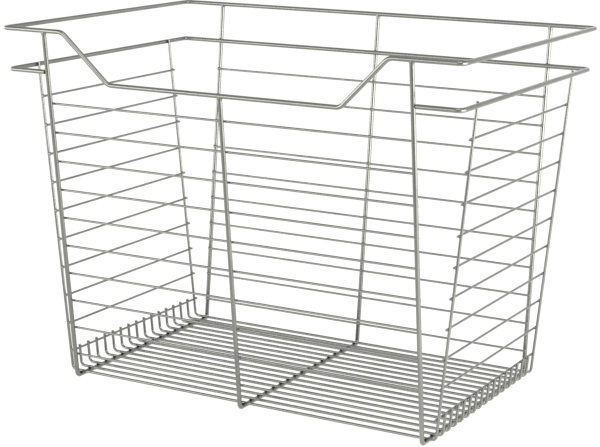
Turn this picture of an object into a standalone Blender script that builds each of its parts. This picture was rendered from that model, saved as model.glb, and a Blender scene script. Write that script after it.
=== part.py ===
# Pull-out closet basket, all welded steel wire.
# Metres, +Z up. The origin is on the ground under the middle of the basket,
# -Y is the front with the scooped rim, -X is the left.
import math

import bmesh
import bpy
from mathutils import Matrix, Vector

# Overall size, outside to outside of the upper rim and down to the frames' undersides
OVERALL_WIDTH = 0.606
OVERALL_DEPTH = 0.406
OVERALL_HEIGHT = 0.447

# Wire diameters
RIM_WIRE = 0.0055
FRAME_WIRE = 0.0055
FLOOR_WIRE = 0.0035
GRID_WIRE = 0.00275

# Clearance left between two wires that are welded together
WELD_GAP = 0.0003

# Rims. The lower one is a little narrower and hangs below the upper one
RIM_SPACING = 0.050
LOWER_RIM_STEP = 0.003
RIM_CORNER_BEND = 0.006

# Scoop in the front run of the upper rim, on the rim's centre line. It starts a step
# inside the outer frames, and each of its slants runs this far in
SCOOP_FRAME_STEP = 0.027
SCOOP_SLANT_RUN = 0.0605
SCOOP_DROP = 0.059
SCOOP_TOP_BEND = 0.014
SCOOP_BOTTOM_BEND = 0.013

# Three U-shaped frames from front to back. The outer ones stand in from the rim's ends
FRAME_INSET = 0.05925
FRAME_BEND = 0.0055

# How far each wall leans out for each metre that it rises
FRONT_LEAN_SHARE = 0.117
REAR_LEAN_SHARE = 0.102
SIDE_LEAN_SHARE = 0.100

# Floor wires. The first and the last rise to the lower rim, leaning a little forward, and
# the others end in short upturns. The inset is from the frames' feet to the end wires
FLOOR_WIRE_COUNT = 17
FLOOR_WIRE_INSET = 0.0085
FLOOR_WIRE_BEND = 0.006
HOOP_LEAN_SHARE = 0.012
HOOP_TIP_RISE = 0.0035
COMB_TIP_RISE = 0.003

# Level wires of the four walls, evenly spaced up to a step below the lower rim
LEVEL_COUNT = 10
LOWEST_LEVEL = 0.0315
TOP_LEVEL_DROP = 0.0385

# How far a level wire runs past the leg or the upright that it ends on
CROSS_WIRE_OVERHANG = 0.001
SIDE_WIRE_OVERHANG = 0.003

# Ball of weld metal that makes the side rails one body with the middle floor wire
WELD_BEAD = 0.0024
WELD_BEAD_STEPS = 2

# Facets round a wire and steps in a quarter bend
THICK_WIRE_SIDES = 12
THIN_WIRE_SIDES = 8
STEPS_IN_QUARTER_BEND = 6
END_CREASE = math.radians(50)

# Finish: satin nickel plate
NICKEL_COLOUR = (0.42, 0.41, 0.385, 1.0)
NICKEL_ROUGHNESS = 0.32

rim_radius = RIM_WIRE / 2
frame_radius = FRAME_WIRE / 2
floor_radius = FLOOR_WIRE / 2
grid_radius = GRID_WIRE / 2

# A facet's middle is nearer the wire's axis than its edge
thick_flat_share = math.cos(math.pi / THICK_WIRE_SIDES)

rim_half_width = OVERALL_WIDTH / 2 - rim_radius
rim_half_depth = OVERALL_DEPTH / 2 - rim_radius
upper_rim_height = OVERALL_HEIGHT - rim_radius
lower_rim_height = upper_rim_height - RIM_SPACING
lower_rim_half_width = rim_half_width - LOWER_RIM_STEP
scoop_bottom_height = upper_rim_height - SCOOP_DROP
frame_spacing = rim_half_width - FRAME_INSET
level_pitch = (lower_rim_height - TOP_LEVEL_DROP - LOWEST_LEVEL) / (LEVEL_COUNT - 1)

# The frames stand on the flat undersides of their bottom runs
frame_run_height = frame_radius * thick_flat_share
floor_wire_height = frame_run_height + frame_radius + WELD_GAP + floor_radius


def front_frame_y(z):
    """Centre line of the frames' front legs at a height."""
    return -rim_half_depth + FRONT_LEAN_SHARE * (upper_rim_height - z)


def rear_frame_y(z):
    """Centre line of the frames' rear legs at a height."""
    return rim_half_depth - REAR_LEAN_SHARE * (upper_rim_height - z)


def side_wire_x(z):
    """Centre line of the right wall's upright wires at a height."""
    at_lower_rim = lower_rim_half_width - rim_radius - WELD_GAP - floor_radius
    return at_lower_rim - SIDE_LEAN_SHARE * (lower_rim_height - z)


def floor_wire_places():
    """Front-to-back places of the floor wires, spread evenly between the frames' feet."""
    first = front_frame_y(frame_run_height) + FLOOR_WIRE_INSET
    last = rear_frame_y(frame_run_height) - FLOOR_WIRE_INSET
    pitch = (last - first) / (FLOOR_WIRE_COUNT - 1)
    return [first + pitch * number for number in range(FLOOR_WIRE_COUNT)]


def hoop_y(foot_y, z):
    """Centre line of a hoop's uprights at a height, for a hoop with that foot."""
    return foot_y - HOOP_LEAN_SHARE * (z - floor_wire_height)


def rounded_path(corners, closed=False):
    """Points along straight runs joined by arcs. Each corner is a point and its bend radius."""
    points = []
    count = len(corners)
    for index, (corner, bend) in enumerate(corners):
        corner = Vector(corner)
        if bend == 0 or (not closed and index in (0, count - 1)):
            points.append(corner)
            continue
        before = (Vector(corners[index - 1][0]) - corner).normalized()
        after = (Vector(corners[(index + 1) % count][0]) - corner).normalized()
        half_angle = before.angle(after) / 2
        turn = math.pi - 2 * half_angle
        centre = corner + (before + after).normalized() * bend / math.sin(half_angle)
        start = corner + before * bend / math.tan(half_angle) - centre
        steps = max(2, round(STEPS_IN_QUARTER_BEND * turn / (math.pi / 2)))
        across = start.cross(before).cross(start).normalized() * -bend
        for step in range(steps + 1):
            angle = turn * step / steps
            points.append(centre + start * math.cos(angle) + across * math.sin(angle))
    return points


def nickel(name):
    """Satin nickel plate for one piece."""
    material = bpy.data.materials.new(name + "_nickel")
    material.use_nodes = True
    shader = material.node_tree.nodes["Principled BSDF"]
    shader.inputs["Base Color"].default_value = NICKEL_COLOUR
    shader.inputs["Metallic"].default_value = 1
    shader.inputs["Roughness"].default_value = NICKEL_ROUGHNESS
    return material


def place_mesh(name, mesh):
    """A smooth-sided object with crisp cut ends."""
    mesh.shade_smooth()
    mesh.set_sharp_from_angle(angle=END_CREASE)
    piece = bpy.data.objects.new(name, mesh)
    bpy.context.collection.objects.link(piece)
    return piece


def wire(name, path, radius, closed=False, upright_profile=False):
    """One piece of round wire along a path, swept from a bevelled curve with closed ends."""
    sides = THIN_WIRE_SIDES if radius < frame_radius else THICK_WIRE_SIDES
    curve = bpy.data.curves.new(name, "CURVE")
    curve.dimensions = "3D"
    curve.bevel_depth = radius
    curve.bevel_resolution = sides // 2 - 2
    curve.use_fill_caps = not closed
    curve.twist_mode = "Z_UP" if upright_profile else "MINIMUM"
    spline = curve.splines.new("POLY")
    spline.points.add(len(path) - 1)
    spline.use_cyclic_u = closed
    for point, place in zip(spline.points, path):
        point.co = Vector(place).to_4d()
        point.tilt = math.pi / sides
    guide = bpy.data.objects.new(name + "_guide", curve)
    mesh = bpy.data.meshes.new_from_object(guide)
    bpy.data.objects.remove(guide)
    mesh.name = name
    mesh.materials.append(nickel(name))
    return place_mesh(name, mesh)


def weld_bead(name, place):
    """A small ball of weld metal between two wires."""
    ball = bmesh.new()
    bmesh.ops.create_icosphere(
        ball, subdivisions=WELD_BEAD_STEPS, radius=WELD_BEAD / 2, matrix=Matrix.Translation(place)
    )
    mesh = bpy.data.meshes.new(name)
    ball.to_mesh(mesh)
    ball.free()
    return place_mesh(name, mesh)


def unite(body, others):
    """Make the others part of the body, and keep them only as hidden guides."""
    for other in others:
        union = body.modifiers.new("weld_to_" + other.name, "BOOLEAN")
        union.operation = "UNION"
        union.solver = "EXACT"
        union.object = other
        other.hide_render = True
        other.display_type = "WIRE"


def make_upper_rim():
    """A closed ring with tight corners and a wide scoop in its front run."""
    front = -rim_half_depth
    scoop_front = front_frame_y(scoop_bottom_height)
    scoop_top = frame_spacing - SCOOP_FRAME_STEP
    scoop_bottom = scoop_top - SCOOP_SLANT_RUN
    corners = [
        ((-rim_half_width, front, upper_rim_height), RIM_CORNER_BEND),
        ((-scoop_top, front, upper_rim_height), SCOOP_TOP_BEND),
        ((-scoop_bottom, scoop_front, scoop_bottom_height), SCOOP_BOTTOM_BEND),
        ((scoop_bottom, scoop_front, scoop_bottom_height), SCOOP_BOTTOM_BEND),
        ((scoop_top, front, upper_rim_height), SCOOP_TOP_BEND),
        ((rim_half_width, front, upper_rim_height), RIM_CORNER_BEND),
        ((rim_half_width, rim_half_depth, upper_rim_height), RIM_CORNER_BEND),
        ((-rim_half_width, rim_half_depth, upper_rim_height), RIM_CORNER_BEND),
    ]
    wire("upper_rim", rounded_path(corners, closed=True), rim_radius, closed=True, upright_profile=True)


def make_lower_rim():
    """An open ring whose front ends meet the outer frames' front legs from outside."""
    z = lower_rim_height
    front = front_frame_y(z)
    rear = rear_frame_y(z) - frame_radius - WELD_GAP - rim_radius
    end = frame_spacing + frame_radius + WELD_GAP
    corners = [
        ((-end, front, z), 0),
        ((-lower_rim_half_width, front, z), RIM_CORNER_BEND),
        ((-lower_rim_half_width, rear, z), RIM_CORNER_BEND),
        ((lower_rim_half_width, rear, z), RIM_CORNER_BEND),
        ((lower_rim_half_width, front, z), RIM_CORNER_BEND),
        ((end, front, z), 0),
    ]
    wire("lower_rim", rounded_path(corners), rim_radius, upright_profile=True)


def make_frame(name, x, front_rim_height):
    """A U from front to back, its legs butted under the upper rim."""
    front_top = front_rim_height - rim_radius - WELD_GAP
    rear_top = upper_rim_height - rim_radius - WELD_GAP
    corners = [
        ((x, front_frame_y(front_top), front_top), 0),
        ((x, front_frame_y(frame_run_height), frame_run_height), FRAME_BEND),
        ((x, rear_frame_y(frame_run_height), frame_run_height), FRAME_BEND),
        ((x, rear_frame_y(rear_top), rear_top), 0),
    ]
    wire(name, rounded_path(corners), frame_radius)


def make_floor_wire(name, y, tip_y, tip_height):
    """A wire across the frames, bent up into both side walls."""
    foot = side_wire_x(floor_wire_height)
    tip = side_wire_x(tip_height)
    corners = [
        ((-tip, tip_y, tip_height), 0),
        ((-foot, y, floor_wire_height), FLOOR_WIRE_BEND),
        ((foot, y, floor_wire_height), FLOOR_WIRE_BEND),
        ((tip, tip_y, tip_height), 0),
    ]
    return wire(name, rounded_path(corners), floor_radius)


def make_floor():
    places = floor_wire_places()
    hoop_tip = lower_rim_height + HOOP_TIP_RISE
    comb_tip = LOWEST_LEVEL + COMB_TIP_RISE
    make_floor_wire("front_hoop", places[0], hoop_y(places[0], hoop_tip), hoop_tip)
    make_floor_wire("rear_hoop", places[-1], hoop_y(places[-1], hoop_tip), hoop_tip)
    middle = FLOOR_WIRE_COUNT // 2
    for number in range(1, FLOOR_WIRE_COUNT - 1):
        if number != middle:
            make_floor_wire(f"floor_wire_{number:02d}", places[number], places[number], comb_tip)
    middle_y = places[middle]
    body = make_floor_wire("middle_floor_wire_with_rails", middle_y, middle_y, comb_tip)
    weld_rails(body, middle_y)


def make_side_wire(name, side, z):
    """A level wire inside the upright wires of one side wall. Side is -1 for left, 1 for right."""
    places = floor_wire_places()
    x = side * (side_wire_x(z) - floor_radius - WELD_GAP - grid_radius)
    front_end = hoop_y(places[0], z) - SIDE_WIRE_OVERHANG
    rear_end = hoop_y(places[-1], z) + SIDE_WIRE_OVERHANG
    ends = [(x, front_end, z), (x, rear_end, z)]
    return wire(name, ends, grid_radius)


def weld_rails(body, y):
    """The lowest side wires are rails on the upturned ends, joined here to the middle one."""
    bead_offset = floor_radius + WELD_GAP / 2
    for word, side in (("left", -1), ("right", 1)):
        rail = make_side_wire(f"{word}_rail", side, LOWEST_LEVEL)
        place = (side * (side_wire_x(LOWEST_LEVEL) - bead_offset), y, LOWEST_LEVEL)
        unite(body, [rail, weld_bead(f"{word}_rail_bead", place)])


def make_level_wires():
    """At each level one wire in front, one at the rear and one on each side, inside the uprights."""
    half_length = frame_spacing + CROSS_WIRE_OVERHANG
    frame_offset = frame_radius + WELD_GAP + grid_radius
    for number in range(1, LEVEL_COUNT + 1):
        z = LOWEST_LEVEL + level_pitch * (number - 1)
        front = front_frame_y(z) + frame_offset
        rear = rear_frame_y(z) - frame_offset
        wire(f"front_wire_{number:02d}", [(-half_length, front, z), (half_length, front, z)], grid_radius)
        wire(f"rear_wire_{number:02d}", [(-half_length, rear, z), (half_length, rear, z)], grid_radius)
        if number > 1:
            make_side_wire(f"left_wire_{number:02d}", -1, z)
            make_side_wire(f"right_wire_{number:02d}", 1, z)


for leftover in list(bpy.data.objects):
    bpy.data.objects.remove(leftover, do_unlink=True)

make_upper_rim()
make_lower_rim()
make_frame("frame_left", -frame_spacing, upper_rim_height)
make_frame("frame_middle", 0, scoop_bottom_height)
make_frame("frame_right", frame_spacing, upper_rim_height)
make_floor()
make_level_wires()
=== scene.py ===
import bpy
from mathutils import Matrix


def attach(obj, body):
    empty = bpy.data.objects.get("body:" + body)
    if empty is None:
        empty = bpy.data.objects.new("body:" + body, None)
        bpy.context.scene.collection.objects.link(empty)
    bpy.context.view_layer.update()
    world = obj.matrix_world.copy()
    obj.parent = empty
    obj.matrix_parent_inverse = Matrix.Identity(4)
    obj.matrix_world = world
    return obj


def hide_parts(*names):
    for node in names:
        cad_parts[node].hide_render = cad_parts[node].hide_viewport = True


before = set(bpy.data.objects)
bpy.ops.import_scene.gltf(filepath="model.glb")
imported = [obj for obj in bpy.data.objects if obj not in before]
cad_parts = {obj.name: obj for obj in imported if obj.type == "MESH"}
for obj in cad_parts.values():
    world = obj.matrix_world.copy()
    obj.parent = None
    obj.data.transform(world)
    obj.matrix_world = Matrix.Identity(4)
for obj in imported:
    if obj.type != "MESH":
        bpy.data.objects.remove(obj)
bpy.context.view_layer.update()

import math

import bpy
from mathutils import Quaternion, Vector
from mathutils.kdtree import KDTree

# Pull-out closet basket, welded from round steel wire and plated satin nickel.
# Metres. The front is -Y and the ground is Z = 0.

scene = bpy.context.scene
scene.view_settings.view_transform = "Standard"

basket = {
    "rimRadius": 0.00275,
    "frameRadius": 0.00275,
    "floorRadius": 0.00175,
    "wallRadius": 0.001375,
    "halfWidth": 0.30015,      # upper rim's centre line
    "halfDepth": 0.20015,
    "upperRimZ": 0.44415,
    "lowerRimZ": 0.39425,
    "lowerHalfWidth": 0.29715,
    "frontLean": 0.117,        # how far a wall leans out for each metre that it rises
    "rearLean": 0.102,
    "sideLean": 0.100,
    "hoopLean": 0.012,
    "frameX": 0.241,
    "frameFloorZ": 0.00276,    # centre line of the frames' bottom runs
    "footInset": 0.0085,       # from a frame's foot to the first floor wire
    "floorWires": 17,
    "levels": 10,
    "lowestLevel": 0.0315,
    "levelPitch": 0.036,
    "crossOverhang": 0.001,    # how far a wall wire runs past the middle of the leg it ends on
    "sideOverhang": 0.003,
    "pressIn": 0.0003,         # how deep two wires sink into each other where they are welded
    "bendSteps": 10,           # rings in a quarter bend
    "leastSteps": 3,
    "bevelSteps": 2,
    "holdingRing": 0.0004,     # from the end bevel to the ring that holds a straight run's shading
    "seamMerge": 0.00005,      # joins a closed ring's last row of points to its first
    "smoothAngle": 40,         # degrees; sharper edges stay sharp
}
floorZ = basket["frameFloorZ"] + basket["frameRadius"] + basket["floorRadius"] - basket["pressIn"]


def frontLegY(z):
    return -basket["halfDepth"] + basket["frontLean"] * (basket["upperRimZ"] - z)


def rearLegY(z):
    return basket["halfDepth"] - basket["rearLean"] * (basket["upperRimZ"] - z)


def sideWallX(z):  # the right wall's uprights
    atRim = basket["lowerHalfWidth"] - basket["rimRadius"] - basket["floorRadius"] + basket["pressIn"]
    return atRim - basket["sideLean"] * (basket["lowerRimZ"] - z)


def hoopY(footY, z):
    return footY - basket["hoopLean"] * (z - floorZ)


def levelZ(number):
    return basket["lowestLevel"] + basket["levelPitch"] * (number - 1)


firstFloorY = frontLegY(basket["frameFloorZ"]) + basket["footInset"]
lastFloorY = rearLegY(basket["frameFloorZ"]) - basket["footInset"]
floorPitch = (lastFloorY - firstFloorY) / (basket["floorWires"] - 1)
floorYs = [firstFloorY + floorPitch * number for number in range(basket["floorWires"])]
lastFloor = basket["floorWires"] - 1


# Materials

def linearColour(hexText):  # sRGB hex to the linear values that a shader wants
    values = [int(hexText[i:i + 2], 16) / 255 for i in (1, 3, 5)]
    return [v / 12.92 if v <= 0.04045 else ((v + 0.055) / 1.055) ** 2.4 for v in values] + [1]


def addNode(tree, kind, settings=None, values=None, links=None):
    node = tree.nodes.new(kind)
    for key, value in (settings or {}).items():
        setattr(node, key, value)
    for key, value in (values or {}).items():
        node.inputs[key].default_value = value
    for key, source in (links or {}).items():
        tree.links.new(source, node.inputs[key])
    return node


def emptyMaterial(name):
    material = bpy.data.materials.new(name)
    material.use_nodes = True
    material.node_tree.nodes.clear()
    return material, material.node_tree


nickelLook = {
    "warmHex": "#888881",
    "coolHex": "#80807E",
    "cloudSize": 0.030,     # metres across a patch of slightly warmer or cooler plating
    "cloudDetail": 3,
    "cloudRange": (0.35, 0.65),
    "lineWidth": 0.0003,    # drawing lines, drawn three times as wide as real ones so that they show
    "lineLength": 0.020,
    "lineDetail": 2,
    "lineGrain": 0.6,
    "lineRange": (0.3, 0.7),
    "roughLow": 0.15,
    "roughHigh": 0.22,
    "lineStrength": 0.2,
    "lineDepth": 0.000004,
}


def satinNickel():
    # Satin nickel plate on drawn wire: a soft warm-grey metal whose faint drawing lines
    # run along each wire, so its highlights are long streaks with blurred edges.
    material, tree = emptyMaterial("satinNickelPlate")
    look = nickelLook
    along = addNode(tree, "ShaderNodeAttribute", {"attribute_name": "alongWire"})
    across = 1 / look["lineWidth"]
    lines = addNode(tree, "ShaderNodeMapping", values={"Scale": (across, across, 1 / look["lineLength"])},
                    links={"Vector": along.outputs["Vector"]})
    streaks = addNode(tree, "ShaderNodeTexNoise", values={
        "Scale": 1, "Detail": look["lineDetail"], "Roughness": look["lineGrain"],
    }, links={"Vector": lines.outputs["Vector"]})
    place = addNode(tree, "ShaderNodeTexCoord")
    clouds = addNode(tree, "ShaderNodeTexNoise", values={
        "Scale": 1 / look["cloudSize"], "Detail": look["cloudDetail"],
    }, links={"Vector": place.outputs["Object"]})
    tint = addNode(tree, "ShaderNodeMapRange", values={
        "From Min": look["cloudRange"][0], "From Max": look["cloudRange"][1],
    }, links={"Value": clouds.outputs["Fac"]})
    colour = addNode(tree, "ShaderNodeMix", {"data_type": "RGBA"})
    tree.links.new(tint.outputs["Result"], colour.inputs[0])
    colour.inputs[6].default_value = linearColour(look["coolHex"])
    colour.inputs[7].default_value = linearColour(look["warmHex"])
    rough = addNode(tree, "ShaderNodeMapRange", values={
        "From Min": look["lineRange"][0], "From Max": look["lineRange"][1],
        "To Min": look["roughLow"], "To Max": look["roughHigh"],
    }, links={"Value": streaks.outputs["Fac"]})
    relief = addNode(tree, "ShaderNodeBump", values={
        "Strength": look["lineStrength"], "Distance": look["lineDepth"],
    }, links={"Height": streaks.outputs["Fac"]})
    shader = addNode(tree, "ShaderNodeBsdfPrincipled", values={"Metallic": 1}, links={
        "Base Color": colour.outputs[2], "Roughness": rough.outputs["Result"],
        "Normal": relief.outputs["Normal"],
    })
    addNode(tree, "ShaderNodeOutputMaterial", links={"Surface": shader.outputs["BSDF"]})
    return material


weldLook = {
    "lightHex": "#888881",
    "darkHex": "#787874",
    "grainSize": 0.0008,    # metres across one ripple of the weld metal
    "grainDetail": 2,
    "rough": 0.30,
    "rippleStrength": 0.5,
    "rippleDepth": 0.00002,
}
# Painted shade: near-black weld metal that stands in for the contact shadow in crevices and at wire ends
paintedShadeWeldLook = dict(weldLook, lightHex="#45443F", darkHex="#1C1C1D", rough=0.5)


def platedWeld(name, look):
    # Nickel plate over a resistance weld: the same metal, rougher and a little darker,
    # because the squeezed-out weld metal under it is rippled. The dark one is painted
    # shade: near-black beads at the crossings' crevices and the wire ends, for their contact shadow.
    material, tree = emptyMaterial(name)
    place = addNode(tree, "ShaderNodeTexCoord")
    grain = addNode(tree, "ShaderNodeTexNoise", values={
        "Scale": 1 / look["grainSize"], "Detail": look["grainDetail"],
    }, links={"Vector": place.outputs["Object"]})
    colour = addNode(tree, "ShaderNodeMix", {"data_type": "RGBA"})
    tree.links.new(grain.outputs["Fac"], colour.inputs[0])
    colour.inputs[6].default_value = linearColour(look["darkHex"])
    colour.inputs[7].default_value = linearColour(look["lightHex"])
    relief = addNode(tree, "ShaderNodeBump", values={
        "Strength": look["rippleStrength"], "Distance": look["rippleDepth"],
    }, links={"Height": grain.outputs["Fac"]})
    shader = addNode(tree, "ShaderNodeBsdfPrincipled", values={"Metallic": 1, "Roughness": look["rough"]},
                     links={"Base Color": colour.outputs[2], "Normal": relief.outputs["Normal"]})
    addNode(tree, "ShaderNodeOutputMaterial", links={"Surface": shader.outputs["BSDF"]})
    return material


nickel = satinNickel()
weldMetal = platedWeld("platedWeld", weldLook)
# The weld whose dark colour is painted contact shadow
paintedShadeWeld = platedWeld("paintedShadowWeld", paintedShadeWeldLook)
print("materials ready")


# Wire bending

def clearSelection():
    bpy.ops.object.select_all(action="DESELECT")


def finishPiece(piece, material, *nodes):
    piece.data.materials.clear()
    piece.data.materials.append(material)
    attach(piece, "root")
    if nodes:
        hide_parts(*nodes)


def markAlongWire(mesh, rings):
    # Straightens the wire in an attribute: across, across and along, in metres,
    # so that the drawing lines follow every bend.
    tree = KDTree(len(rings))
    for index, (centre, side, up, length) in enumerate(rings):
        tree.insert(centre, index)
    tree.balance()
    values = []
    for vertex in mesh.vertices:
        centre, side, up, length = rings[tree.find(vertex.co)[1]]
        offset = vertex.co - centre
        values += [offset.dot(side), offset.dot(up), length]
    attribute = mesh.attributes.new("alongWire", "FLOAT_VECTOR", "POINT")
    attribute.data.foreach_set("vector", values)


def drawStraight(start, end, hold, side, length, rings):
    # A ring near either end holds the shading level along the run, so it mirrors like a true cylinder.
    run = end - start
    heading = run.normalized()
    stops = [end]
    if run.length > 3 * hold:
        stops = [start + heading * hold, end - heading * hold, end]
    here = start
    for stop in stops:
        bpy.ops.mesh.extrude_region_move(TRANSFORM_OT_translate={"value": stop - here})
        length += (stop - here).length
        here = stop
        rings.append((here, side, heading.cross(side), length))
    return length


def bendWire(name, corners, radius, sides, closed=False, endBevel=0.0003):
    # A ring is drawn out along each straight run and spun round each bend, as on a wire bender.
    # Each corner is a point and the bend radius there.
    points = [Vector(point) for point, bend in corners]
    bends = [bend for point, bend in corners]
    if closed:  # starts and ends in the middle of the last run
        seam = (points[-1] + points[0]) / 2
        points = [seam] + points + [seam]
        bends = [0] + bends + [0]
    heading = (points[1] - points[0]).normalized()
    turn = heading.to_track_quat("Z", "Y")
    side = turn @ Vector((1, 0, 0))
    clearSelection()
    bpy.ops.mesh.primitive_circle_add(vertices=sides, radius=radius, fill_type="NOTHING",
                                      location=points[0], rotation=turn.to_euler())
    piece = bpy.context.object
    piece.name = name
    piece.data.name = name
    bpy.ops.object.transform_apply(location=True, rotation=True, scale=True)
    bpy.ops.object.mode_set(mode="EDIT")
    bpy.ops.mesh.select_all(action="SELECT")
    here = points[0]
    hold = endBevel + basket["holdingRing"]
    length = 0
    rings = [(here, side, heading.cross(side), length)]
    for index in range(1, len(points) - 1):
        corner = points[index]
        back = (points[index - 1] - corner).normalized()
        ahead = (points[index + 1] - corner).normalized()
        halfAngle = back.angle(ahead) / 2
        sweep = math.pi - 2 * halfAngle
        centre = corner + (back + ahead).normalized() * bends[index] / math.sin(halfAngle)
        start = corner + back * bends[index] / math.tan(halfAngle)
        axis = ahead.cross(back).normalized()
        length = drawStraight(here, start, hold, side, length, rings)
        steps = max(basket["leastSteps"], round(basket["bendSteps"] * sweep / (math.pi / 2)))
        bpy.ops.mesh.spin(steps=steps, angle=-sweep, center=centre, axis=axis)
        firstSide = side
        for step in range(1, steps + 1):
            swing = Quaternion(axis, sweep * step / steps)
            side = swing @ firstSide
            here = centre + swing @ (start - centre)
            length += bends[index] * sweep / steps
            rings.append((here, side, (swing @ -back).cross(side), length))
    length = drawStraight(here, points[-1], hold, side, length, rings)
    if closed:
        bpy.ops.mesh.select_all(action="SELECT")
        bpy.ops.mesh.remove_doubles(threshold=basket["seamMerge"])
        # The lines run both ways from the seam, so they meet at it and on the far side
        rings = [(c, s, u, min(along, length - along)) for c, s, u, along in rings]
    else:
        bpy.ops.mesh.edge_face_add()
        bpy.ops.mesh.select_all(action="DESELECT")
        bpy.ops.mesh.select_non_manifold(extend=False, use_wire=False, use_multi_face=False,
                                         use_non_contiguous=False, use_verts=False)
        bpy.ops.mesh.edge_face_add()
        bpy.ops.mesh.select_mode(type="FACE")
        bpy.ops.mesh.select_face_by_sides(number=4, type="GREATER", extend=False)
        bpy.ops.mesh.bevel(offset=endBevel, segments=basket["bevelSteps"], affect="EDGES")
        bpy.ops.mesh.select_mode(type="VERT")
    bpy.ops.mesh.select_all(action="SELECT")
    bpy.ops.mesh.normals_make_consistent(inside=False)
    bpy.ops.object.mode_set(mode="OBJECT")
    bpy.ops.object.shade_smooth_by_angle(angle=math.radians(basket["smoothAngle"]))
    markAlongWire(piece.data, rings)
    return piece


def copyWire(source, name, move, shift):
    # A copy with its own mesh. The shift moves the drawing lines, so no two copies match.
    piece = source.copy()
    piece.data = source.data.copy()
    piece.name = name
    piece.data.name = name
    bpy.context.collection.objects.link(piece)
    piece.location = move
    clearSelection()
    piece.select_set(True)
    bpy.context.view_layer.objects.active = piece
    bpy.ops.object.transform_apply(location=True, rotation=False, scale=False)
    for item in piece.data.attributes["alongWire"].data:
        item.vector.z += shift
    return piece


upperRim = {
    "cornerBend": 0.006,
    "scoopTopX": 0.214,
    "scoopBottomX": 0.1535,
    "scoopBottomZ": 0.38515,
    "scoopTopBend": 0.014,
    "scoopBottomBend": 0.013,
    "sides": 32,
}


def makeUpperRim():
    size = upperRim
    wide, deep, z = basket["halfWidth"], basket["halfDepth"], basket["upperRimZ"]
    lowY = frontLegY(size["scoopBottomZ"])
    corners = [
        ((-wide, deep, z), size["cornerBend"]),
        ((-wide, -deep, z), size["cornerBend"]),
        ((-size["scoopTopX"], -deep, z), size["scoopTopBend"]),
        ((-size["scoopBottomX"], lowY, size["scoopBottomZ"]), size["scoopBottomBend"]),
        ((size["scoopBottomX"], lowY, size["scoopBottomZ"]), size["scoopBottomBend"]),
        ((size["scoopTopX"], -deep, z), size["scoopTopBend"]),
        ((wide, -deep, z), size["cornerBend"]),
        ((wide, deep, z), size["cornerBend"]),
    ]
    piece = bendWire("upperRimWire", corners, basket["rimRadius"], size["sides"], closed=True)
    finishPiece(piece, nickel, "upper_rim")


makeUpperRim()
print("upper rim bent")

lowerRim = {
    "cornerBend": 0.006,
    "legGap": 0.0005,     # from a front end to the leg beside it, filled by a weld
    "endBevel": 0.0011,
    "sides": 32,
}


def makeLowerRim():
    size = lowerRim
    wide, z = basket["lowerHalfWidth"], basket["lowerRimZ"]
    frontY = frontLegY(z)
    rearY = rearLegY(z) - basket["frameRadius"] - basket["rimRadius"] + basket["pressIn"]
    endX = basket["frameX"] + basket["frameRadius"] + size["legGap"]
    corners = [
        ((-endX, frontY, z), 0),
        ((-wide, frontY, z), size["cornerBend"]),
        ((-wide, rearY, z), size["cornerBend"]),
        ((wide, rearY, z), size["cornerBend"]),
        ((wide, frontY, z), size["cornerBend"]),
        ((endX, frontY, z), 0),
    ]
    piece = bendWire("lowerRimWire", corners, basket["rimRadius"], size["sides"], endBevel=size["endBevel"])
    finishPiece(piece, nickel, "lower_rim")


makeLowerRim()
print("lower rim bent")

frames = {
    "footBend": 0.0055,
    "topSink": 0.0010,    # a leg's top ends this far under the rim's centre line, inside the rim
    "sides": 28,
}


def makeFrame(name, node, x, frontRimZ):
    size = frames
    frontZ = frontRimZ - size["topSink"]
    rearZ = basket["upperRimZ"] - size["topSink"]
    low = basket["frameFloorZ"]
    corners = [
        ((x, frontLegY(frontZ), frontZ), 0),
        ((x, frontLegY(low), low), size["footBend"]),
        ((x, rearLegY(low), low), size["footBend"]),
        ((x, rearLegY(rearZ), rearZ), 0),
    ]
    piece = bendWire(name, corners, basket["frameRadius"], size["sides"])
    finishPiece(piece, nickel, node)


makeFrame("leftFrameWire", "frame_left", -basket["frameX"], basket["upperRimZ"])
makeFrame("middleFrameWire", "frame_middle", 0, upperRim["scoopBottomZ"])
makeFrame("rightFrameWire", "frame_right", basket["frameX"], basket["upperRimZ"])
print("frames bent")

floor = {
    "bend": 0.006,
    "hoopTipRise": 0.0035,   # above the lower rim's centre line
    "combTipRise": 0.0030,   # above the lowest wall wires
    "lineShift": 0.7,        # metres that the drawing lines move on from wire to wire
    "sides": 20,
}


def floorCorners(y, tipY, tipZ):
    foot = sideWallX(floorZ)
    tip = sideWallX(tipZ)
    return [
        ((-tip, tipY, tipZ), 0),
        ((-foot, y, floorZ), floor["bend"]),
        ((foot, y, floorZ), floor["bend"]),
        ((tip, tipY, tipZ), 0),
    ]


def makeFloor():
    size = floor
    hoopTip = basket["lowerRimZ"] + size["hoopTipRise"]
    for word, y in (("front", floorYs[0]), ("rear", floorYs[-1])):
        corners = floorCorners(y, hoopY(y, hoopTip), hoopTip)
        hoop = bendWire(f"{word}HoopWire", corners, basket["floorRadius"], size["sides"])
        finishPiece(hoop, nickel, f"{word}_hoop")
    combTip = basket["lowestLevel"] + size["combTipRise"]
    corners = floorCorners(floorYs[1], floorYs[1], combTip)
    first = bendWire("combWire01", corners, basket["floorRadius"], size["sides"])
    finishPiece(first, nickel, "floor_wire_01")
    middle = basket["floorWires"] // 2
    for number in range(2, lastFloor):
        move = (0, floorYs[number] - floorYs[1], 0)
        wire = copyWire(first, f"combWire{number:02d}", move, size["lineShift"] * number)
        node = "middle_floor_wire_with_rails" if number == middle else f"floor_wire_{number:02d}"
        finishPiece(wire, nickel, node)


makeFloor()
print("floor wires bent")

walls = {
    "crossLineShift": 0.6,
    "rearLineShift": 7,
    "sideLineShift": 0.5,
    "rightLineShift": 3,    # and as far the other way on the left
    "sides": 20,
}


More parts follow.
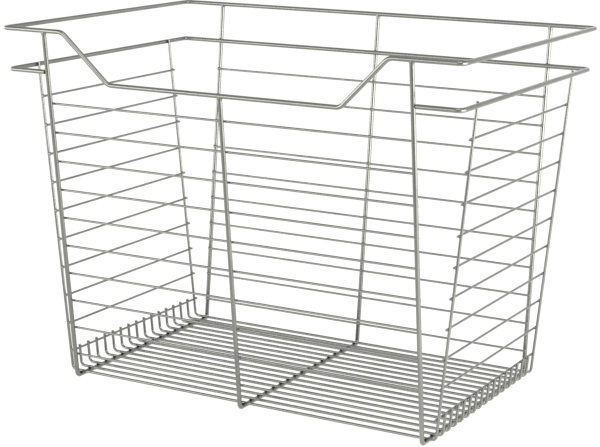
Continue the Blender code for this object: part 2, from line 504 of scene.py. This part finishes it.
def makeCrossWires():  # the level wires of the front and rear walls
    reach = basket["frameX"] + basket["crossOverhang"]
    offset = basket["frameRadius"] + basket["wallRadius"] - basket["pressIn"]
    ends = [((-reach, 0, 0), 0), ((reach, 0, 0), 0)]
    pattern = bendWire("crossWirePattern", ends, basket["wallRadius"], walls["sides"])
    for number in range(1, basket["levels"] + 1):
        z = levelZ(number)
        shift = walls["crossLineShift"] * number
        front = copyWire(pattern, f"frontWire{number:02d}", (0, frontLegY(z) + offset, z), shift)
        rear = copyWire(pattern, f"rearWire{number:02d}", (0, rearLegY(z) - offset, z),
                        shift + walls["rearLineShift"])
        finishPiece(front, nickel, f"front_wire_{number:02d}")
        finishPiece(rear, nickel, f"rear_wire_{number:02d}")
    bpy.data.objects.remove(pattern)


def makeSideWires():
    frontY = floorYs[0] - basket["sideOverhang"]
    rearY = floorYs[-1] + basket["sideOverhang"]
    offset = basket["floorRadius"] + basket["wallRadius"] - basket["pressIn"]
    ends = [((0, frontY, 0), 0), ((0, rearY, 0), 0)]
    pattern = bendWire("sideWirePattern", ends, basket["wallRadius"], walls["sides"])
    for word, side in (("left", -1), ("right", 1)):
        for number in range(1, basket["levels"] + 1):
            z = levelZ(number)
            move = (side * (sideWallX(z) - offset), hoopY(0, z), z)
            name = f"{word}Rail" if number == 1 else f"{word}Wire{number:02d}"
            node = "middle_floor_wire_with_rails" if number == 1 else f"{word}_wire_{number:02d}"
            shift = walls["sideLineShift"] * number + walls["rightLineShift"] * side
            finishPiece(copyWire(pattern, name, move, shift), nickel, node)
    bpy.data.objects.remove(pattern)


makeCrossWires()
makeSideWires()
print("wall wires cut")


# Welds

welds = {
    "beadSubdivisions": 3,
    "waistBand": 0.3,        # this share of a bead's half height, on both sides, is its waist
    "waistSwell": 1.12,
    "smoothing": 0.5,
    "smoothingRounds": 2,
    "thinAcross": 0.0021,    # half sizes of a bead where a thin wire crosses another
    "thinDeep": 0.0011,
    "floorAlong": 0.0029,    # floor beads run out along the frame, beyond the wire over them
    "floorDeep": 0.0010,
    "rimAcross": 0.0031,     # and where a rim wire crosses a leg
    "rimDeep": 0.0016,
    "stubGap": 0.0010,       # half sizes of the weld between a leg and the lower rim's end
    "stubAcross": 0.0019,
}
collar = {
    "sides": 24,
    "sink": 0.0012,          # how far its top reaches up into the rim
    "startWide": 1.01,       # against the leg's radius
    "smoothAngle": 50,
    "rings": ((0.0012, 1.03, 1.0), (0.0009, 1.06, 1.01), (0.0007, 1.12, 1.01), (0.0012, 1.16, 0.97)),
}


def beadPattern():
    # A ball with a swollen waist, like metal squeezed out between two wires
    size = welds
    clearSelection()
    bpy.ops.mesh.primitive_ico_sphere_add(subdivisions=size["beadSubdivisions"], radius=1)
    piece = bpy.context.object
    piece.name = "beadPattern"
    bpy.ops.object.mode_set(mode="EDIT")
    bpy.ops.mesh.select_mode(type="VERT")
    bpy.ops.mesh.select_all(action="DESELECT")
    bpy.ops.object.mode_set(mode="OBJECT")
    for vertex in piece.data.vertices:
        vertex.select = abs(vertex.co.z) < size["waistBand"]
    bpy.ops.object.mode_set(mode="EDIT")
    bpy.ops.transform.resize(value=(size["waistSwell"], size["waistSwell"], 1))
    bpy.ops.mesh.select_all(action="SELECT")
    bpy.ops.mesh.vertices_smooth(factor=size["smoothing"], repeat=size["smoothingRounds"])
    bpy.ops.object.mode_set(mode="OBJECT")
    bpy.ops.object.shade_smooth()
    return piece


def placeBeads(name, pattern, places, material):
    # Each place is a centre, the bead's three half sizes and the way that its third one points
    copies = []
    for centre, halfSizes, facing in places:
        copy = pattern.copy()
        copy.data = pattern.data.copy()
        bpy.context.collection.objects.link(copy)
        copy.location = centre
        copy.rotation_euler = Vector(facing).to_track_quat("Z", "Y").to_euler()
        copy.scale = halfSizes
        copies.append(copy)
    clearSelection()
    for copy in copies:
        copy.select_set(True)
    bpy.context.view_layer.objects.active = copies[0]
    bpy.ops.object.join()
    piece = bpy.context.object
    piece.name = name
    piece.data.name = name
    bpy.ops.object.transform_apply(location=True, rotation=True, scale=True)
    finishPiece(piece, material)


def makeCollar(name, rimZ, x, legY, lean):
    # The weld that flares out from a leg's top to the rim above it, wider along the rim.
    # Each ring is a rise and how much wider the collar gets along and across the rim.
    size = collar
    height = sum(rise for rise, alongRim, acrossRim in size["rings"])
    axis = Vector((0, lean, 1)).normalized()
    topZ = rimZ - basket["rimRadius"] + size["sink"]
    top = Vector((x, legY(topZ), topZ))
    clearSelection()
    bpy.ops.mesh.primitive_circle_add(vertices=size["sides"], fill_type="NGON",
                                      radius=basket["frameRadius"] * size["startWide"])
    piece = bpy.context.object
    bpy.ops.object.mode_set(mode="EDIT")
    bpy.ops.mesh.select_all(action="SELECT")
    for rise, alongRim, acrossRim in size["rings"]:
        bpy.ops.mesh.extrude_region_move(TRANSFORM_OT_translate={"value": (0, 0, rise)})
        bpy.ops.transform.resize(value=(alongRim, acrossRim, 1), center_override=(0, 0, 0))
    bpy.ops.mesh.select_all(action="SELECT")
    bpy.ops.mesh.normals_make_consistent(inside=False)
    bpy.ops.object.mode_set(mode="OBJECT")
    bpy.ops.object.shade_smooth_by_angle(angle=math.radians(size["smoothAngle"]))
    piece.rotation_euler = axis.to_track_quat("Z", "Y").to_euler()
    piece.location = top - axis * height
    clearSelection()
    piece.select_set(True)
    bpy.ops.object.transform_apply(location=True, rotation=True, scale=True)
    piece.name = name
    piece.data.name = name
    finishPiece(piece, weldMetal)


def makeCollars():
    frameXs = {"left": -basket["frameX"], "middle": 0, "right": basket["frameX"]}
    for word, x in frameXs.items():
        frontRimZ = upperRim["scoopBottomZ"] if word == "middle" else basket["upperRimZ"]
        makeCollar(f"{word}FrontCollar", frontRimZ, x, frontLegY, -basket["frontLean"])
        makeCollar(f"{word}RearCollar", basket["upperRimZ"], x, rearLegY, basket["rearLean"])


def makeWelds():
    size = welds
    pattern = beadPattern()
    thin = (size["thinAcross"], size["thinAcross"], size["thinDeep"])
    onFloor = (size["thinAcross"], size["floorAlong"], size["floorDeep"])
    thick = (size["rimAcross"], size["rimAcross"], size["rimDeep"])
    frameXs = (-basket["frameX"], 0, basket["frameX"])
    floorPlaces = [((x, y, basket["frameFloorZ"] + basket["frameRadius"]), onFloor, (0, 0, 1))
                   for x in frameXs for y in floorYs]
    # Painted shade: the floor beads are dark where the crevice under each crossing is shadowed
    placeBeads("floorWelds", pattern, floorPlaces, paintedShadeWeld)
    wallPlaces = []
    for number in range(1, basket["levels"] + 1):
        z = levelZ(number)
        for x in frameXs:
            wallPlaces.append(((x, frontLegY(z) + basket["frameRadius"], z), thin, (0, 1, 0)))
            wallPlaces.append(((x, rearLegY(z) - basket["frameRadius"], z), thin, (0, 1, 0)))
    placeBeads("wallWelds", pattern, wallPlaces, weldMetal)
    sidePlaces = []
    for side in (-1, 1):
        for number in range(1, basket["levels"] + 1):
            z = levelZ(number)
            ys = floorYs if number == 1 else (hoopY(floorYs[0], z), hoopY(floorYs[-1], z))
            for y in ys:
                sidePlaces.append(((side * (sideWallX(z) - basket["floorRadius"]), y, z), thin, (1, 0, 0)))
    placeBeads("sideWelds", pattern, sidePlaces, weldMetal)
    z = basket["lowerRimZ"]
    tipPlaces = [((side * (sideWallX(z) + basket["floorRadius"]), hoopY(y, z), z), thin, (1, 0, 0))
                 for side in (-1, 1) for y in (floorYs[0], floorYs[-1])]
    # Painted shade: the dark tip beads stand in for the shadow between each hoop tip and the rim
    placeBeads("hoopTipWelds", pattern, tipPlaces, paintedShadeWeld)
    rimPlaces = [((x, rearLegY(z) - basket["frameRadius"], z), thick, (0, 1, 0)) for x in frameXs]
    placeBeads("lowerRimWelds", pattern, rimPlaces, weldMetal)
    stub = (size["stubAcross"], size["stubAcross"], size["stubGap"])
    endX = basket["frameX"] + basket["frameRadius"] + lowerRim["legGap"] / 2
    stubPlaces = [((side * endX, frontLegY(z), z), stub, (1, 0, 0)) for side in (-1, 1)]
    # Painted shade: the dark stub beads stand in for the shadowed gap between each rim end and its leg
    placeBeads("stubWelds", pattern, stubPlaces, paintedShadeWeld)
    bpy.data.objects.remove(pattern)


makeCollars()
makeWelds()
print("welds set")


# Studio

studio = {
    "sheetSize": 30,
    "sheetMiddle": (0, 4, 0),
    "paperHex": "#E6E6E6",     # what light bounces off the floor with
    "sheetHex": "#606060",     # adds the shadows to the floor's own white
    "cameraGlow": 0.96,
    "mirrorGlow": 1.0,         # what metal shows of the table
    "wallFoot": -2.6,          # painted shade: from here to the table's edge the floor's glow in metal dips dark
    "tableEdge": -0.5,
    "paintedGapGlow": 0.38,
    "gapStops": (0.35, 0.86),  # shares of the way from wall to table between which it is darkest
    "gapLeft": -0.3,           # the dark gap fades out towards the left
    "gapRight": 0.5,
    "paintedPoolSpot": (1.0, -0.1, 0),   # painted pool of light: the floor's glow in metal is brightest here, under the right softbox
    "paintedPoolReach": 1.0,
    "paintedPoolGlow": 2.4,
    "ceilingGlow": 0.70,
    "ceilingLow": 0.32,        # sine of the height at which the ceiling starts, and is full
    "ceilingHigh": 0.55,
    "darkToward": (0.173, -0.984, 0.052),   # the unlit room behind the photographer
    "darkGlow": 0.12,
    "darkWide": 0.951,         # cosine of the angle at which that darkness ends, and is full
    "darkFull": 0.985,
}


def makeFloorSheet():
    clearSelection()
    bpy.ops.mesh.primitive_plane_add(size=studio["sheetSize"], location=studio["sheetMiddle"])
    sheet = bpy.context.object
    sheet.name = "studioFloor"
    bpy.ops.object.transform_apply(location=True, rotation=True, scale=True)
    # Matt white paper that keeps the basket's shadow. In metal it shows a painted reflection: a bright
    # table with a painted pool of light on the right and, before it, a painted dark gap that gives the wires
    # their dark cores.
    material, tree = emptyMaterial("mattWhitePaper")
    # 1 for rays from the camera, off metal and through glass, which all see the white surroundings
    path = addNode(tree, "ShaderNodeLightPath")
    either = addNode(tree, "ShaderNodeMath", {"operation": "MAXIMUM"}, links={
        0: path.outputs["Is Glossy Ray"], 1: path.outputs["Is Transmission Ray"],
    })
    seen = addNode(tree, "ShaderNodeMath", {"operation": "MAXIMUM"}, links={
        0: path.outputs["Is Camera Ray"], 1: either.outputs[0],
    })
    place = addNode(tree, "ShaderNodeTexCoord")
    parts = addNode(tree, "ShaderNodeSeparateXYZ", links={"Vector": place.outputs["Object"]})
    # Painted shade for reflections: a dark band across the floor's glow, fading out to the left
    ahead = addNode(tree, "ShaderNodeMapRange", values={
        "From Min": studio["wallFoot"], "From Max": studio["tableEdge"],
    }, links={"Value": parts.outputs["Y"]})
    gap = addNode(tree, "ShaderNodeValToRGB", links={"Fac": ahead.outputs["Result"]})
    mirror, dark = studio["mirrorGlow"], studio["paintedGapGlow"]
    stops = gap.color_ramp.elements
    stops[0].color = stops[1].color = (mirror, mirror, mirror, 1)
    for stop in studio["gapStops"]:
        stops.new(stop).color = (dark, dark, dark, 1)
    gap.color_ramp.interpolation = "EASE"
    aside = addNode(tree, "ShaderNodeMapRange", values={
        "From Min": studio["gapLeft"], "From Max": studio["gapRight"],
    }, links={"Value": parts.outputs["X"]})
    table = addNode(tree, "ShaderNodeMix", {"data_type": "FLOAT"}, links={
        0: aside.outputs["Result"], 3: gap.outputs["Color"],
    })
    table.inputs[2].default_value = mirror
    # Painted pool of light for reflections: the floor's glow rises around a spot on the right
    away = addNode(tree, "ShaderNodeVectorMath", {"operation": "DISTANCE"}, values={1: studio["paintedPoolSpot"]},
                   links={0: place.outputs["Object"]})
    window = addNode(tree, "ShaderNodeMapRange", values={
        "From Max": studio["paintedPoolReach"], "To Min": studio["paintedPoolGlow"], "To Max": 1.0,
    }, links={"Value": away.outputs["Value"]})
    mirrored = addNode(tree, "ShaderNodeMath", {"operation": "MULTIPLY"}, links={
        0: table.outputs[0], 1: window.outputs["Result"],
    })
    strength = addNode(tree, "ShaderNodeMix", {"data_type": "FLOAT"}, links={
        0: path.outputs["Is Camera Ray"], 2: mirrored.outputs[0],
    })
    strength.inputs[3].default_value = studio["cameraGlow"]
    glow = addNode(tree, "ShaderNodeEmission", values={"Color": (1, 1, 1, 1)},
                   links={"Strength": strength.outputs[0]})
    shade = addNode(tree, "ShaderNodeBsdfDiffuse", values={"Color": linearColour(studio["sheetHex"])})
    shown = addNode(tree, "ShaderNodeAddShader", links={0: shade.outputs[0], 1: glow.outputs[0]})
    paper = addNode(tree, "ShaderNodeBsdfDiffuse", values={"Color": linearColour(studio["paperHex"])})
    choose = addNode(tree, "ShaderNodeMixShader", links={
        0: seen.outputs[0], 1: paper.outputs[0], 2: shown.outputs[0],
    })
    addNode(tree, "ShaderNodeOutputMaterial", links={"Surface": choose.outputs[0]})
    sheet.data.materials.append(material)


def lightWorld():
    # White all round, with a greyer ceiling that metal and matt surfaces see but the camera doesn't
    world = bpy.data.worlds.new("studioWorld")
    scene.world = world
    world.use_nodes = True
    tree = world.node_tree
    tree.nodes.clear()
    path = addNode(tree, "ShaderNodeLightPath")
    place = addNode(tree, "ShaderNodeTexCoord")
    parts = addNode(tree, "ShaderNodeSeparateXYZ", links={"Vector": place.outputs["Generated"]})
    rise = addNode(tree, "ShaderNodeMapRange", {"interpolation_type": "SMOOTHSTEP"}, values={
        "From Min": studio["ceilingLow"], "From Max": studio["ceilingHigh"],
        "To Min": 1.0, "To Max": studio["ceilingGlow"],
    }, links={"Value": parts.outputs["Z"]})
    toward = addNode(tree, "ShaderNodeVectorMath", {"operation": "DOT_PRODUCT"}, values={
        1: studio["darkToward"],
    }, links={0: place.outputs["Generated"]})
    darkness = addNode(tree, "ShaderNodeMapRange", {"interpolation_type": "SMOOTHSTEP"}, values={
        "From Min": studio["darkWide"], "From Max": studio["darkFull"],
        "To Min": 1.0, "To Max": studio["darkGlow"],
    }, links={"Value": toward.outputs["Value"]})
    dimmed = addNode(tree, "ShaderNodeMath", {"operation": "MULTIPLY"}, links={
        0: rise.outputs["Result"], 1: darkness.outputs["Result"],
    })
    strength = addNode(tree, "ShaderNodeMix", {"data_type": "FLOAT"}, links={
        0: path.outputs["Is Camera Ray"], 2: dimmed.outputs[0],
    })
    strength.inputs[3].default_value = 1
    dome = addNode(tree, "ShaderNodeBackground", values={"Color": (1, 1, 1, 1)},
                   links={"Strength": strength.outputs[0]})
    addNode(tree, "ShaderNodeOutputWorld", links={"Surface": dome.outputs[0]})


lamps = {  # softboxes: middle, the point that they face, width and height in metres, watts
    "left": {"place": (-1.75, -0.55, 0.50), "aim": (0, -0.55, 0.50), "size": (1.9, 0.8), "power": 10.0},
    "farLeft": {"place": (-1.45, -1.65, 0.45), "aim": (0, 0, 0.45), "size": (0.66, 0.85), "power": 6.2},
    "front": {"place": (-0.72, -1.72, 0.45), "aim": (-0.2, 0, 0.45), "size": (0.72, 0.85), "power": 4.2},
    "frontRight": {"place": (1.45, -0.45, 0.50), "aim": (0, 0, 0.50), "size": (0.8, 0.7), "power": 5.6},
    "right": {"place": (1.15, 0.05, 0.42), "aim": (0, 0.05, 0.42), "size": (1.5, 0.8), "power": 10.4},
    "overhead": {"place": (0.50, -1.40, 1.70), "aim": (0.50, -1.39, 0), "size": (1.4, 2.0), "power": 13.0},
    "behind": {"place": (0.22, 0.82, 0.50), "aim": (-0.38, 0, 0.44), "size": (0.32, 0.5), "power": 0.27},
}


def hangLamps():
    for name, lamp in lamps.items():
        light = bpy.data.lights.new(name + "Softbox", "AREA")
        light.shape = "RECTANGLE"
        light.size, light.size_y = lamp["size"]
        light.energy = lamp["power"]
        holder = bpy.data.objects.new(name + "Softbox", light)
        bpy.context.collection.objects.link(holder)
        holder.location = lamp["place"]
        holder.visible_camera = False
        aim = Vector(lamp["aim"]) - holder.location
        holder.rotation_euler = aim.to_track_quat("-Z", "Y").to_euler()


camera = {
    "place": (0.98118, -1.75376, 0.66424),
    "turn": (76.9960, -0.5279, 29.4249),   # degrees
    "lens": 99.126,     # millimetres, as is the sensor
    "sensor": 36,
}


def setCamera():
    lens = bpy.data.cameras.new("photoCamera")
    lens.sensor_fit = "HORIZONTAL"
    lens.sensor_width = camera["sensor"]
    lens.lens = camera["lens"]
    holder = bpy.data.objects.new("photoCamera", lens)
    bpy.context.collection.objects.link(holder)
    holder.location = camera["place"]
    holder.rotation_euler = [math.radians(angle) for angle in camera["turn"]]
    scene.camera = holder


makeFloorSheet()
lightWorld()
hangLamps()
setCamera()
print("studio lit")
